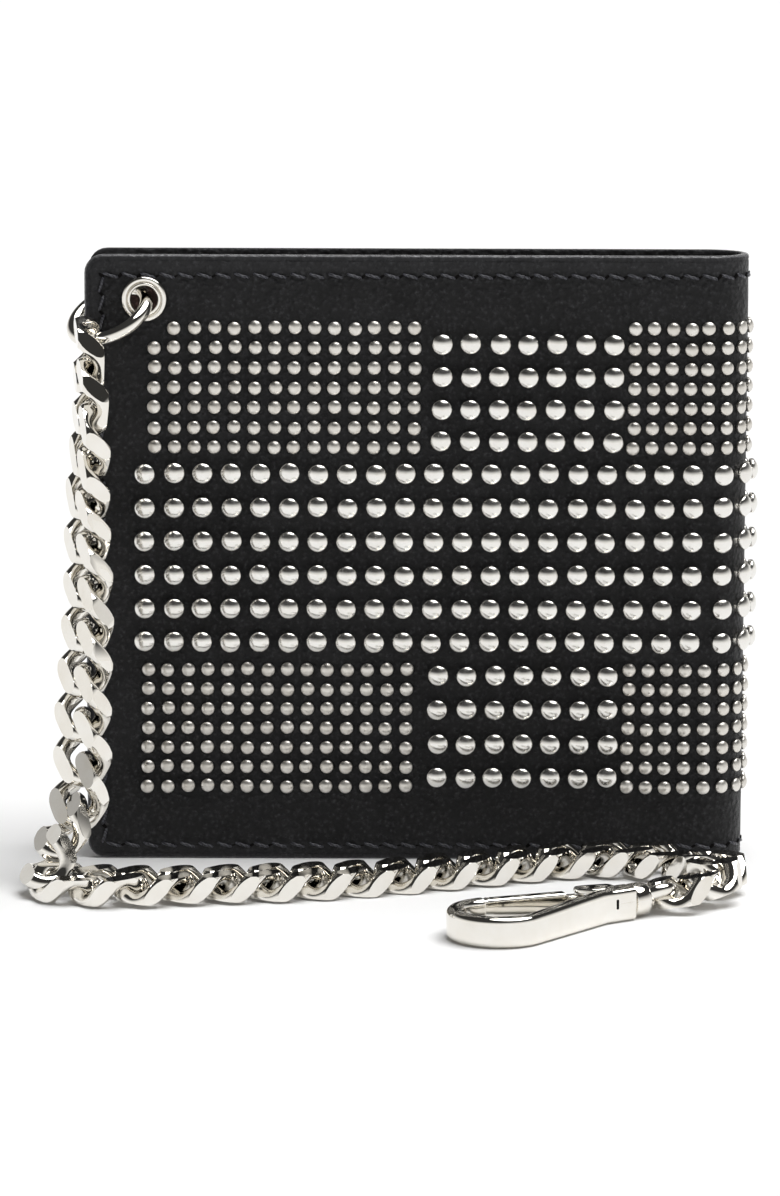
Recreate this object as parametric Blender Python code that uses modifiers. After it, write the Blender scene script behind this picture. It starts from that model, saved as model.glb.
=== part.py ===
"""Chain wallet: a studded bifold with an eyelet, a curb chain and a snap hook.

The closed wallet stands on its bottom edges. X runs from the open edges to the
spine, Y from the front cover to the back cover, and Z up. The origin is under
the middle of the wallet. Lengths below are in metres, through MM.
"""

import math

import bmesh
import bpy
import numpy as np
from mathutils import Matrix, Vector

MM = 0.001
GAP = 0.3 * MM

# Wallet, closed.
WIDTH = 110 * MM
HEIGHT = 101.5 * MM
HALF_THICKNESS = 7 * MM
CORNER = 4 * MM
COVER = 1.4 * MM
LARGE_STUD_HEIGHT = 1.4 * MM
SMALL_STUD_HEIGHT = 0.8 * MM
STUD_BASE_GAP = 0.05 * MM

# The studs stand out of the spine, so the leather sits half their height to the left.
OPEN_EDGE = -(WIDTH + LARGE_STUD_HEIGHT) / 2
SPINE_TOP = OPEN_EDGE + WIDTH
TANGENT = SPINE_TOP - HALF_THICKNESS
# A half round spine of this radius opens flat about two axes that lie this far past its tangents.
PIVOT_OFFSET = (math.pi / 2 - 1) * HALF_THICKNESS

# Inner layers of one half: thickness, depth of the outer face below the cover's outer face.
LINING = (0.4 * MM, 1.7 * MM)
DIVIDER = (0.6 * MM, 3.1 * MM)
POCKETS = (
    ("upper", 0.5 * MM, 4.0 * MM, 88 * MM),
    ("middle", 0.5 * MM, 4.8 * MM, 76 * MM),
    ("lower", 0.5 * MM, 5.6 * MM, 64 * MM),
)
INNER_MARGIN = 1.2 * MM
POCKET_MARGIN = 3 * MM
POCKET_BASE = 4 * MM

# Stud fields: heights of the large band and of the whole field, and the upright large band.
FIELD_LOW = 10.4 * MM
FIELD_HIGH = 90.2 * MM
BAND_LOW = 32.9 * MM
BAND_HIGH = 67.3 * MM
COLUMN_LEFT = 2.1 * MM
COLUMN_RIGHT = 35.4 * MM
FIELD_LEFT = -46.9 * MM
SMALL_FIELD_LEFT = -44.9 * MM

# Eyelet in the front cover's upper open corner.
EYELET_X = OPEN_EDGE + 9.9 * MM
EYELET_Z = HEIGHT - 7.3 * MM
EYELET_BORE = 2.25 * MM
EYELET_BARREL = 2.55 * MM
EYELET_FLANGE = 3.75 * MM
EYELET_LIP = 3.2 * MM
EYELET_HOLE = 2.75 * MM

# Jump ring through the eyelet: it leans out to the chain, and its front half hangs lower.
RING_WIRE = 1.0 * MM
RING_RADIUS = 6.6 * MM
RING_SLOPE = math.radians(25)
RING_TILT = math.radians(26)
RING_REACH = 6.3 * MM
RING_MID_Y = -6.3 * MM

# Curb chain link: half length and half width of the wire's centre line.
LINK_HALF_LENGTH = 5.3 * MM
LINK_HALF_WIDTH = 3.9 * MM
LINK_WIRE = 1.25 * MM
LINK_TWIST = math.radians(50)
LINK_FLAT_Z = 2.1 * MM
LINK_FLAT_Y = 4.85 * MM
LINK_POINTS = 14

# Chain route: centre line, and the way that the broad side faces, in millimetres.
CHAIN_ROUTE = (
    ((-54.8, -12.4, 85.5), (-0.85, -0.24, -0.05)),
    ((-54.5, -16.5, 75.2), (-0.81, -0.61, 0.01)),
    ((-55.1, -15.3, 60.3), (-0.63, -0.77, -0.01)),
    ((-55.1, -18.4, 44.9), (-0.44, -0.89, 0.02)),
    ((-56.0, -22.2, 30.2), (-0.21, -0.95, 0.05)),
    ((-56.9, -25.0, 14.7), (-0.14, -0.98, 0.06)),
    ((-60.0, -30.8, 8.6), (0.01, -0.79, 0.55)),
    ((-59.3, -36.2, 4.0), (0.34, 0.13, 0.94)),
    ((-57.9, -38.6, 2.7), (-0.01, -0.09, 1.06)),
    ((-48.2, -41.6, 3.0), (-0.04, -0.08, 1.04)),
    ((-34.1, -38.8, 2.7), (-0.03, -0.01, 0.99)),
    ((-19.1, -36.0, 2.5), (-0.01, -0.03, 1.05)),
    ((-5.0, -31.2, 2.3), (0.00, 0.00, 1.00)),
    ((7.8, -26.1, 2.5), (0.00, 0.00, 1.00)),
    ((20.2, -20.6, 2.5), (0.00, 0.00, 1.00)),
    ((29.3, -18.4, 2.6), (0.00, 0.00, 1.00)),
    ((37.8, -20.1, 2.8), (-0.05, -0.01, 0.97)),
    ((44.3, -24.9, 2.9), (0.09, 0.00, 1.05)),
    ((48.0, -30.4, 3.7), (-0.03, 0.01, 1.03)),
    ((46.2, -41.2, 3.5), (-0.23, 0.37, 0.95)),
    ((42.4, -44.3, 3.2), (0.01, 0.17, 0.95)),
)
CHAIN_LINKS = 32

# Snap hook, lying on its side. U runs from its nose to its swivel, V to its gate.
HOOK_NOSE = Vector((12.0, -65.0, 0.0)) * MM
HOOK_ANGLE = math.radians(35)
HOOK_HEIGHT = 5.4 * MM
HOOK_BAND = 2.6 * MM
HOOK_RADIUS = 6.9 * MM
HOOK_LENGTH = 35.2 * MM
BARREL_RADIUS = 2.7 * MM
BARREL_START = 27.6 * MM
STEM_RADIUS = 1.1 * MM
STEM_BORE = 1.4 * MM
GATE_PIN_UV = (25.8 * MM, 2.9 * MM)
GATE_BAND = 2.2 * MM
NOSE_CENTRE = (HOOK_RADIUS + HOOK_BAND / 2, 0)
EAR_START = BARREL_START - 3.6 * MM
EAR_MARGIN = 1.3 * MM
EAR_THICKNESS = 0.9 * MM
KNUCKLE_LOW = 2.5 * MM
PIN_RADIUS = 0.5 * MM
PIN_BORE = 0.65 * MM
EYE_RADIUS = 2.7 * MM
EYE_WIRE = 1.1 * MM
EYE_ROLL = math.radians(-35)

COLOURS = {
    "leather": ((0.022, 0.022, 0.024, 1), 0.45, 0.0),
    "lining": ((0.05, 0.035, 0.03, 1), 0.8, 0.0),
    "nickel": ((0.78, 0.76, 0.71, 1), 0.12, 1.0),
    "studs": ((0.72, 0.71, 0.68, 1), 0.3, 1.0),
    "steel": ((0.6, 0.6, 0.6, 1), 0.3, 1.0),
}


# Scene, materials and small helpers.


def clear_scene():
    for obj in list(bpy.data.objects):
        bpy.data.objects.remove(obj, do_unlink=True)


def new_collection(name):
    collection = bpy.data.collections.new(name)
    bpy.context.scene.collection.children.link(collection)
    return collection


def material_for(node, kind):
    colour, roughness, metallic = COLOURS[kind]
    material = bpy.data.materials.new(node)
    material.use_nodes = True
    shader = material.node_tree.nodes["Principled BSDF"]
    shader.inputs["Base Color"].default_value = colour
    shader.inputs["Roughness"].default_value = roughness
    shader.inputs["Metallic"].default_value = metallic
    return material


def add_part(name, data, kind, matrix=None):
    obj = bpy.data.objects.new(name, data)
    PARTS.objects.link(obj)
    if matrix is not None:
        obj.matrix_world = matrix
    if not data.materials:
        data.materials.append(material_for(name, kind))
    return obj


def mesh_from_curve(name, curve):
    """A welded mesh of a curve's tube or plate."""
    holder = bpy.data.objects.new(name + "_curve", curve)
    bpy.context.scene.collection.objects.link(holder)
    graph = bpy.context.evaluated_depsgraph_get()
    mesh = bpy.data.meshes.new_from_object(holder.evaluated_get(graph))
    bpy.data.objects.remove(holder)
    mesh.name = name
    body = bmesh.new()
    body.from_mesh(mesh)
    bmesh.ops.remove_doubles(body, verts=body.verts, dist=0.001 * MM)
    bmesh.ops.recalc_face_normals(body, faces=body.faces)
    body.to_mesh(mesh)
    body.free()
    return mesh


def poly_spline(curve, points, cyclic):
    spline = curve.splines.new("POLY")
    spline.points.add(len(points) - 1)
    for point, place in zip(spline.points, points):
        point.co = (*place, 1)
    spline.use_cyclic_u = cyclic
    return spline


def tube_mesh(name, points, radius, resolution=1, cyclic=False):
    curve = bpy.data.curves.new(name, "CURVE")
    curve.dimensions = "3D"
    curve.bevel_depth = radius
    curve.bevel_resolution = resolution
    curve.use_fill_caps = True
    poly_spline(curve, points, cyclic)
    return mesh_from_curve(name, curve)


def plate_mesh(name, outlines, thickness):
    """A flat plate in the XY plane, from 0 up to thickness: an outline, then its holes."""
    curve = bpy.data.curves.new(name, "CURVE")
    curve.dimensions = "2D"
    curve.fill_mode = "BOTH"
    curve.extrude = thickness / 2
    for outline in outlines:
        poly_spline(curve, [(x, y, 0) for x, y in outline], True)
    mesh = mesh_from_curve(name, curve)
    mesh.transform(Matrix.Translation((0, 0, thickness / 2)))
    return mesh


def arc(centre, radius, start, end, steps):
    angles = [math.radians(start + (end - start) * i / steps) for i in range(steps + 1)]
    return [(centre[0] + radius * math.cos(a), centre[1] + radius * math.sin(a)) for a in angles]


def circle(centre, radius, steps=24):
    return arc(centre, radius, 0, 360 - 360 / steps, steps - 1)


def boolean(target, cutter, operation):
    modifier = target.modifiers.new(operation.lower(), "BOOLEAN")
    modifier.operation = operation
    modifier.object = cutter
    modifier.solver = "EXACT"


def make_cutter(name, mesh):
    cutter = bpy.data.objects.new(name, mesh)
    CUTTERS.objects.link(cutter)
    cutter.hide_render = True
    cutter.display_type = "WIRE"
    return cutter


def cylinder_mesh(name, radius, low, high, segments=20):
    """An upright round bar on the Z axis."""
    body = bmesh.new()
    bmesh.ops.create_cone(
        body, cap_ends=True, segments=segments, radius1=radius, radius2=radius, depth=high - low
    )
    bmesh.ops.translate(body, verts=body.verts, vec=(0, 0, (low + high) / 2))
    mesh = bpy.data.meshes.new(name)
    body.to_mesh(mesh)
    body.free()
    return mesh


def shade_round(obj, degrees=40):
    obj.data.shade_smooth()
    obj.data.set_sharp_from_angle(angle=math.radians(degrees))


# Leather halves. A plate is drawn with x to the right and z up, and stands facing -Y.


def upright(y_front, thickness, back_half):
    """Stands a plate up with its outer face at y_front on the front half, or mirrored for the back."""
    stand = Matrix.Rotation(math.pi / 2, 4, "X")
    if back_half:
        return Matrix.Translation((0, -y_front, 0)) @ stand
    return Matrix.Translation((0, y_front + thickness, 0)) @ stand


def open_edge_outline(left, right, low, high, radius):
    """A rectangle whose two corners at the open edge are round."""
    corner_low = arc((left + radius, low + radius), radius, 270, 180, 5)
    corner_high = arc((left + radius, high - radius), radius, 180, 90, 5)
    return [(right, low)] + corner_low + corner_high + [(right, high)]


def notched_outline(left, right, low, high, notch_right, notch_low):
    """A rectangle with its upper open corner cut away, which leaves room for the jump ring."""
    return [
        (right, low),
        (left, low),
        (left, notch_low),
        (notch_right, notch_low),
        (notch_right, high),
        (right, high),
    ]


def add_layer(name, outlines, depth, thickness, back_half, kind):
    mesh = plate_mesh(name, outlines, thickness)
    return add_part(name, mesh, kind, upright(-HALF_THICKNESS + depth, thickness, back_half))


def build_half(side, back_half):
    end = TANGENT - GAP / 2
    cover = [open_edge_outline(OPEN_EDGE, end, 0, HEIGHT, CORNER)]
    if not back_half:
        cover.append(circle((EYELET_X, EYELET_Z), EYELET_HOLE))
    add_layer(side + "_cover", cover, 0, COVER, back_half, "leather")

    left = OPEN_EDGE + INNER_MARGIN
    right = end - INNER_MARGIN
    low = INNER_MARGIN
    high = HEIGHT - INNER_MARGIN
    notch = (EYELET_X + 5.5 * MM, EYELET_Z - 12.5 * MM)
    for label, (thickness, depth), top in (
        ("bill_lining", LINING, high),
        ("bill_divider", DIVIDER, high - 4 * MM),
    ):
        if back_half:
            outline = [(right, low), (left, low), (left, top), (right, top)]
        else:
            outline = notched_outline(left, right, low, top, *notch)
        add_layer(f"{side}_{label}", [outline], depth, thickness, back_half, "lining")
    for label, thickness, depth, top in POCKETS:
        pocket_left = left + POCKET_MARGIN
        pocket_right = right - POCKET_MARGIN
        outline = [(pocket_right, POCKET_BASE), (pocket_left, POCKET_BASE), (pocket_left, top)]
        outline.append((pocket_right, top))
        if not back_half and label == "upper":
            outline = notched_outline(pocket_left, pocket_right, POCKET_BASE, top, *notch)
        add_layer(f"{side}_card_pocket_{label}", [outline], depth, thickness, back_half, "leather")


def rectangle(left, right, low, high):
    return [(right, low), (left, low), (left, high), (right, high)]


def build_stud_field(side, back_half):
    """The envelope of one half's studs: a tall cross of large studs on a low field of small ones."""
    name = side + "_stud_field"
    right = TANGENT - GAP / 2
    step = 0.1 * MM
    tall = LARGE_STUD_HEIGHT - STUD_BASE_GAP
    low = SMALL_STUD_HEIGHT - STUD_BASE_GAP
    blocks = (
        (rectangle(SMALL_FIELD_LEFT, right, FIELD_LOW, FIELD_HIGH), 0, low),
        (rectangle(FIELD_LEFT, right - step, BAND_LOW, BAND_HIGH), step, tall),
        (rectangle(COLUMN_LEFT, COLUMN_RIGHT, FIELD_LOW + step, FIELD_HIGH - step), 2 * step, tall - step),
    )
    side_out = HALF_THICKNESS + STUD_BASE_GAP
    stand = Matrix.Rotation(math.pi / 2, 4, "X")
    stand = Matrix.Translation((0, side_out if back_half else -side_out, 0)) @ stand
    field = None
    for outline, base, top in blocks:
        block = plate_mesh(name, [outline], top - base)
        block.transform(Matrix.Translation((0, 0, -top if back_half else base)))
        if field is None:
            field = add_part(name, block, "studs", stand)
        else:
            raised = make_cutter(name + "_raised", block)
            raised.matrix_world = stand
            boolean(field, raised, "UNION")


def half_ring_mesh(name, inner, outer, low, high, steps=14, gap=0.0):
    """A half round shell about the spine's centre line, with its open side at -X."""
    clear = math.degrees(gap / inner)
    outline = arc((TANGENT, 0), outer, -90 + clear, 90 - clear, steps)
    outline += arc((TANGENT, 0), inner, 90 - clear, -90 + clear, steps)
    mesh = plate_mesh(name, [outline], high - low)
    mesh.transform(Matrix.Translation((0, 0, low)))
    return mesh


def build_spine():
    inner = HALF_THICKNESS - COVER
    shell = half_ring_mesh("spine_cover", inner, HALF_THICKNESS, 0, HEIGHT, gap=GAP / 2)
    shade_round(add_part("spine_cover", shell, "leather"))

    lining_outer = HALF_THICKNESS - LINING[1]
    lining_inner = lining_outer - LINING[0]
    low = INNER_MARGIN
    high = HEIGHT - INNER_MARGIN
    lining = half_ring_mesh("spine_lining", lining_inner, lining_outer, low, high, gap=GAP)
    shade_round(add_part("spine_lining", lining, "lining"))

    base = HALF_THICKNESS + STUD_BASE_GAP
    small = HALF_THICKNESS + SMALL_STUD_HEIGHT
    large = HALF_THICKNESS + LARGE_STUD_HEIGHT
    field = half_ring_mesh("spine_stud_field", base, small, FIELD_LOW, FIELD_HIGH, gap=GAP)
    band = half_ring_mesh("spine_stud_band", base, large, BAND_LOW, BAND_HIGH, gap=GAP)
    field_obj = add_part("spine_stud_field", field, "studs")
    boolean(field_obj, make_cutter("spine_stud_band", band), "UNION")


# Eyelet and jump ring.


def turned(name, profile, steps, kind, matrix):
    """A closed profile in the XZ plane, turned about Z, then placed by matrix."""
    body = bmesh.new()
    verts = [body.verts.new((radius, 0, height)) for radius, height in profile]
    for first, second in zip(verts, verts[1:] + verts[:1]):
        body.edges.new((first, second))
    mesh = bpy.data.meshes.new(name)
    body.to_mesh(mesh)
    body.free()
    obj = add_part(name, mesh, kind, matrix)
    screw = obj.modifiers.new("turn", "SCREW")
    screw.steps = steps
    screw.render_steps = steps
    screw.use_merge_vertices = True
    screw.merge_threshold = 0.00001
    screw.use_smooth_shade = True
    return obj


def build_eyelet():
    face_out = Matrix.Translation((EYELET_X, -HALF_THICKNESS, EYELET_Z))
    face_out = face_out @ Matrix.Rotation(math.pi / 2, 4, "X")
    seat = 0.15 * MM
    back = -COVER - 0.6 * MM
    profile = [
        (EYELET_BORE, 0.55 * MM),
        (EYELET_BORE + 0.5 * MM, 0.95 * MM),
        (EYELET_FLANGE - 0.5 * MM, 0.8 * MM),
        (EYELET_FLANGE, seat),
        (EYELET_BARREL, seat),
        (EYELET_BARREL, back),
        (EYELET_LIP, back),
        (EYELET_LIP, back - 0.3 * MM),
        (EYELET_BORE, back - 0.3 * MM),
    ]
    turned("eyelet", profile, 24, "nickel", face_out)
    washer_top = -COVER - seat
    washer = [
        (EYELET_HOLE, washer_top),
        (EYELET_FLANGE, washer_top),
        (EYELET_FLANGE, washer_top - 0.3 * MM),
        (EYELET_HOLE, washer_top - 0.3 * MM),
    ]
    turned("eyelet_washer", washer, 24, "nickel", face_out)


def ring_frame():
    """Along the ring's length, down to the open edge, and across it, out to the front."""
    along = Vector((-math.cos(RING_SLOPE), 0, -math.sin(RING_SLOPE)))
    across = Vector((0, -1, 0))
    across.rotate(Matrix.Rotation(-RING_TILT, 3, along))
    return along, across


def ring_points():
    along, across = ring_frame()
    centre = Vector((EYELET_X, RING_MID_Y, EYELET_Z)) + along * RING_REACH
    return [centre + along * s + across * e for s, e in circle((0, 0), RING_RADIUS)]


def build_jump_ring():
    mesh = tube_mesh("jump_ring", ring_points(), RING_WIRE, 1, True)
    shade_round(add_part("jump_ring", mesh, "nickel"))


# Curb chain.


def link_wire(angle):
    """A point of a link's centre line: an oval, twisted so that links lie flat in each other."""
    x = LINK_HALF_LENGTH * math.cos(angle)
    reach = LINK_HALF_WIDTH * math.sin(angle)
    twist = -LINK_TWIST * math.sin(math.pi / 2 * math.cos(angle))
    return Vector((x, reach * math.cos(twist), reach * math.sin(twist)))


def link_mesh():
    points = [link_wire(2 * math.pi * (i + 0.5) / LINK_POINTS) for i in range(LINK_POINTS)]
    mesh = tube_mesh("chain_link", points, LINK_WIRE, 1, True)
    for vertex in mesh.vertices:
        vertex.co.y = min(max(vertex.co.y, -LINK_FLAT_Y), LINK_FLAT_Y)
        vertex.co.z = min(max(vertex.co.z, -LINK_FLAT_Z), LINK_FLAT_Z)
    return mesh


def smooth_route(points, steps=24):
    """A Catmull-Rom curve through the points."""
    values = [np.array(place + face, dtype=float) for place, face in points]
    values = [2 * values[0] - values[1]] + values + [2 * values[-1] - values[-2]]
    curve = []
    for a, b, c, d in zip(values, values[1:], values[2:], values[3:]):
        for i in range(steps):
            t = i / steps
            curve.append(
                0.5 * (2 * b + (c - a) * t + (2 * a - 5 * b + 4 * c - d) * t**2)
                + 0.5 * (3 * b - a - 3 * c + d) * t**3
            )
    curve.append(values[-2])
    return np.array(curve)


def link_matrices():
    """The place of each link: evenly spaced along the route, broad side to the route's face."""
    curve = smooth_route(CHAIN_ROUTE)
    curve[:, :3] *= MM
    lengths = np.linalg.norm(np.diff(curve[:, :3], axis=0), axis=1)
    travelled = np.concatenate([[0], np.cumsum(lengths)])
    pitch = travelled[-1] / (CHAIN_LINKS - 1)

    def at(distance):
        return np.array([np.interp(distance, travelled, column) for column in curve.T])

    matrices = []
    for i in range(CHAIN_LINKS):
        here = at(i * pitch)
        reach = 0.45 * pitch
        along = Vector(at(i * pitch + reach)[:3] - at(i * pitch - reach)[:3]).normalized()
        face = Vector(here[3:])
        face = (face - along * face.dot(along)).normalized()
        side = face.cross(along)
        turn = Matrix((along, side, face)).transposed().to_4x4()
        matrices.append(Matrix.Translation(here[:3]) @ turn)
    return matrices


def build_chain():
    mesh = link_mesh()
    mesh.materials.append(material_for("chain_link", "nickel"))
    for i, matrix in enumerate(link_matrices(), start=1):
        add_part(f"chain_link_{i:02d}", mesh, "nickel", matrix)
    mesh.shade_smooth()
    mesh.set_sharp_from_angle(angle=math.radians(40))


# Snap hook. Its pieces are drawn flat, U and V as X and Y, and share one placing matrix.


def hook_matrix():
    turn = Matrix.Rotation(HOOK_ANGLE, 4, "Z")
    back = Matrix.Translation((-HOOK_RADIUS - HOOK_BAND / 2, 0, 0))
    return Matrix.Translation(HOOK_NOSE) @ turn @ back


def tangent_from(point, centre, radius, side):
    """The angle of travel from a point to where it touches a circle, on its left or right side."""
    to_centre = Vector(centre) - Vector(point)
    spread = math.asin(radius / to_centre.length)
    return math.atan2(to_centre.y, to_centre.x) - side * spread


def band_outline(path, half):
    """The outline of a band of even thickness along a flat path."""
    left = []
    right = []
    for i, point in enumerate(path):
        before = Vector(path[max(i - 1, 0)])
        after = Vector(path[min(i + 1, len(path) - 1)])
        direction = (after - before).normalized()
        normal = Vector((-direction.y, direction.x)) * half
        left.append(tuple(Vector(point) + normal))
        right.append(tuple(Vector(point) - normal))
    return left + right[::-1]


def hook_cutter(name, mesh, place):
    """A tool for the hook's Booleans, in the hook's own place."""
    cutter = make_cutter(name, mesh)
    cutter.matrix_world = place
    return cutter


def raised_plate(name, outline, low, high):
    """A plate between two heights."""
    mesh = plate_mesh(name, [outline], high - low)
    mesh.transform(Matrix.Translation((0, 0, low)))
    return mesh


def pin_bore(name):
    """A cutter for the gate pin's hole."""
    mesh = cylinder_mesh(name, PIN_BORE, -1 * MM, HOOK_HEIGHT + 1 * MM, 16)
    mesh.transform(Matrix.Translation((*GATE_PIN_UV, 0)))
    return mesh


def lying_bar(name, radius, start, end, segments):
    """A round bar along U, on the barrel's axis."""
    mesh = cylinder_mesh(name, radius, start, end, segments)
    lie = Matrix.Rotation(math.pi / 2, 4, "Y")
    mesh.transform(Matrix.Translation((0, 0, BARREL_RADIUS)) @ lie)
    return mesh


def build_hook_frame(place, gate_angle):
    """An arm from the barrel round the nose to the gate's free end, with two ears for the pin."""
    neck = (BARREL_START, -BARREL_RADIUS + HOOK_BAND / 2)
    arm_angle = tangent_from(neck, NOSE_CENTRE, HOOK_RADIUS, -1)
    start = math.degrees(arm_angle) + 90
    end = math.degrees(gate_angle) + 270
    nose = arc(NOSE_CENTRE, HOOK_RADIUS, start, end, 16)
    tail = (BARREL_START + 1.5 * MM, neck[1])
    outline = band_outline([tail, neck] + nose, HOOK_BAND / 2)
    frame = add_part("hook_frame", plate_mesh("hook_frame", [outline], HOOK_HEIGHT), "nickel", place)
    barrel = lying_bar("hook_barrel", BARREL_RADIUS, BARREL_START, HOOK_LENGTH, 24)
    boolean(frame, hook_cutter("hook_barrel", barrel, place), "UNION")

    pin_u, pin_v = GATE_PIN_UV
    ear_outer = pin_v + EAR_MARGIN
    ears = [
        (BARREL_START + 2.5 * MM, 0.4 * MM),
        (BARREL_START + 2.5 * MM, BARREL_RADIUS),
        (pin_u + 1.0 * MM, ear_outer),
        (EAR_START + 0.7 * MM, ear_outer),
        (EAR_START, pin_v - 0.4 * MM),
        (BARREL_START - 0.6 * MM, 0.4 * MM),
    ]
    ears_mesh = plate_mesh("hook_ears", [ears], HOOK_HEIGHT)
    boolean(frame, hook_cutter("hook_ears", ears_mesh, place), "UNION")
    slot = rectangle(EAR_START - 2 * MM, BARREL_START + 0.1 * MM, -0.9 * MM, pin_v + 2 * MM)
    slot_mesh = raised_plate("hook_slot", slot, EAR_THICKNESS, HOOK_HEIGHT - EAR_THICKNESS)
    boolean(frame, hook_cutter("hook_slot", slot_mesh, place), "DIFFERENCE")
    bore = lying_bar("hook_bore", STEM_BORE, BARREL_START - 2 * MM, HOOK_LENGTH + 1 * MM, 20)
    boolean(frame, hook_cutter("hook_bore", bore, place), "DIFFERENCE")
    pin_hole = pin_bore("hook_pin_hole")
    boolean(frame, hook_cutter("hook_pin_hole", pin_hole, place), "DIFFERENCE")


def build_gate(place, gate_angle):
    """A bar from its knuckle on the pin to just short of the nose."""
    pin = Vector(GATE_PIN_UV)
    direction = Vector((math.cos(gate_angle), math.sin(gate_angle)))
    normal = Vector((-direction.y, direction.x)) * GATE_BAND / 2
    reach = math.sqrt((Vector(NOSE_CENTRE) - pin).length ** 2 - HOOK_RADIUS**2)
    tip = pin + direction * (reach - 0.35 * MM)
    root = pin + direction * 2.4 * MM
    bar = [tuple(tip + normal), tuple(root + normal), tuple(root - normal), tuple(tip - normal)]
    bar_mesh = raised_plate("hook_gate", bar, GAP, HOOK_HEIGHT - GAP)
    gate = add_part("hook_gate", bar_mesh, "nickel", place)

    # The tongue is a little narrower than the bar, so that no two faces lie in one plane.
    narrow = 0.9
    tongue_end = pin + direction * 3.4 * MM
    tongue = [tuple(tongue_end - normal * narrow), tuple(tongue_end + normal * narrow)]
    facing = math.degrees(gate_angle)
    tongue += arc(pin, GATE_BAND / 2 * narrow, facing + 90, facing + 270, 8)
    knuckle_high = HOOK_HEIGHT - EAR_THICKNESS - 0.25 * MM
    tongue_mesh = raised_plate("gate_knuckle", tongue, KNUCKLE_LOW, knuckle_high)
    boolean(gate, hook_cutter("gate_knuckle", tongue_mesh, place), "UNION")
    boolean(gate, hook_cutter("gate_hole", pin_bore("gate_hole"), place), "DIFFERENCE")

    pin_mesh = cylinder_mesh("gate_pin", PIN_RADIUS, 0.1 * MM, HOOK_HEIGHT - 0.1 * MM, 12)
    pin_mesh.transform(Matrix.Translation((*pin, 0)))
    shade_round(add_part("gate_pin", pin_mesh, "steel", place))


def build_gate_spring(place):
    """Two turns of wire round the pin, under the knuckle."""
    steps = 12
    rise = 0.5 * MM
    coil_radius = 0.85 * MM
    coil = []
    for i in range(2 * steps + 1):
        angle = 2 * math.pi * i / steps
        u = GATE_PIN_UV[0] + coil_radius * math.cos(angle)
        v = GATE_PIN_UV[1] + coil_radius * math.sin(angle)
        coil.append((u, v, EAR_THICKNESS + 0.35 * MM + rise * i / steps))
    spring = tube_mesh("gate_spring", coil, 0.16 * MM, 0)
    shade_round(add_part("gate_spring", spring, "steel", place))


def build_swivel_eye(place):
    """A ring on a stem that turns in the barrel."""
    ring_u = HOOK_LENGTH + 0.35 * MM + EYE_RADIUS + EYE_WIRE
    ring = [(u, v, 0) for u, v in circle((0, 0), EYE_RADIUS, 20)]
    mesh = tube_mesh("swivel_eye", ring, EYE_WIRE, 1, True)
    roll = Matrix.Rotation(EYE_ROLL, 4, "X")
    mesh.transform(Matrix.Translation((ring_u, 0, BARREL_RADIUS)) @ roll)
    eye = add_part("swivel_eye", mesh, "nickel", place)
    stem_start = BARREL_START + 0.75 * MM
    stem = lying_bar("swivel_stem", STEM_RADIUS, stem_start, ring_u - EYE_RADIUS, 16)
    boolean(eye, hook_cutter("swivel_stem", stem, place), "UNION")


def build_hook():
    place = hook_matrix()
    gate_angle = tangent_from(GATE_PIN_UV, NOSE_CENTRE, HOOK_RADIUS, 1)
    build_hook_frame(place, gate_angle)
    build_gate(place, gate_angle)
    build_gate_spring(place)
    build_swivel_eye(place)


# Joint axes.


def joint_axis(name, place, direction, parent, pieces):
    """An empty on a joint's axis, with Z along it, that carries the pieces that turn there."""
    empty = bpy.data.objects.new(name, None)
    PARTS.objects.link(empty)
    turn = Vector(direction).to_track_quat("Z", "Y").to_matrix().to_4x4()
    empty.matrix_world = Matrix.Translation(place) @ turn
    if parent is not None:
        carry(parent, [empty])
    carry(empty, [bpy.data.objects[piece] for piece in pieces])
    return empty


def carry(parent, objects):
    """Parents the objects without moving them."""
    bpy.context.view_layer.update()
    for obj in objects:
        obj.parent = parent
        obj.matrix_parent_inverse = parent.matrix_world.inverted()
    bpy.context.view_layer.update()


def place_joint_axes():
    pivot_x = TANGENT + PIVOT_OFFSET
    down = (0, 0, -1)
    spine = ["spine_cover", "spine_lining", "spine_stud_field"]
    front_fold = joint_axis("front_fold", (pivot_x, -HALF_THICKNESS, 0), down, None, spine)
    back = [obj.name for obj in PARTS.objects if obj.name.startswith("back_")]
    joint_axis("back_fold", (pivot_x, HALF_THICKNESS, 0), down, front_fold, back)

    place = hook_matrix()
    barrel = place @ Vector((HOOK_LENGTH, 0, BARREL_RADIUS))
    along = place.to_3x3() @ Vector((1, 0, 0))
    swivel = joint_axis("hook_swivel", barrel, along, None, ["hook_frame", "gate_pin"])
    pin = place @ Vector((*GATE_PIN_UV, BARREL_RADIUS))
    joint_axis("gate_hinge", pin, (0, 0, 1), swivel, ["hook_gate", "gate_spring"])


clear_scene()
PARTS = new_collection("chain_wallet")
CUTTERS = new_collection("cutters")
build_half("front", False)
build_half("back", True)
build_spine()
build_stud_field("front", False)
build_stud_field("back", True)
build_eyelet()
build_jump_ring()
build_chain()
build_hook()
place_joint_axes()
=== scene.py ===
import math
import random

import bmesh
import bpy
import numpy as np
from mathutils import Matrix, Vector, noise


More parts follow.
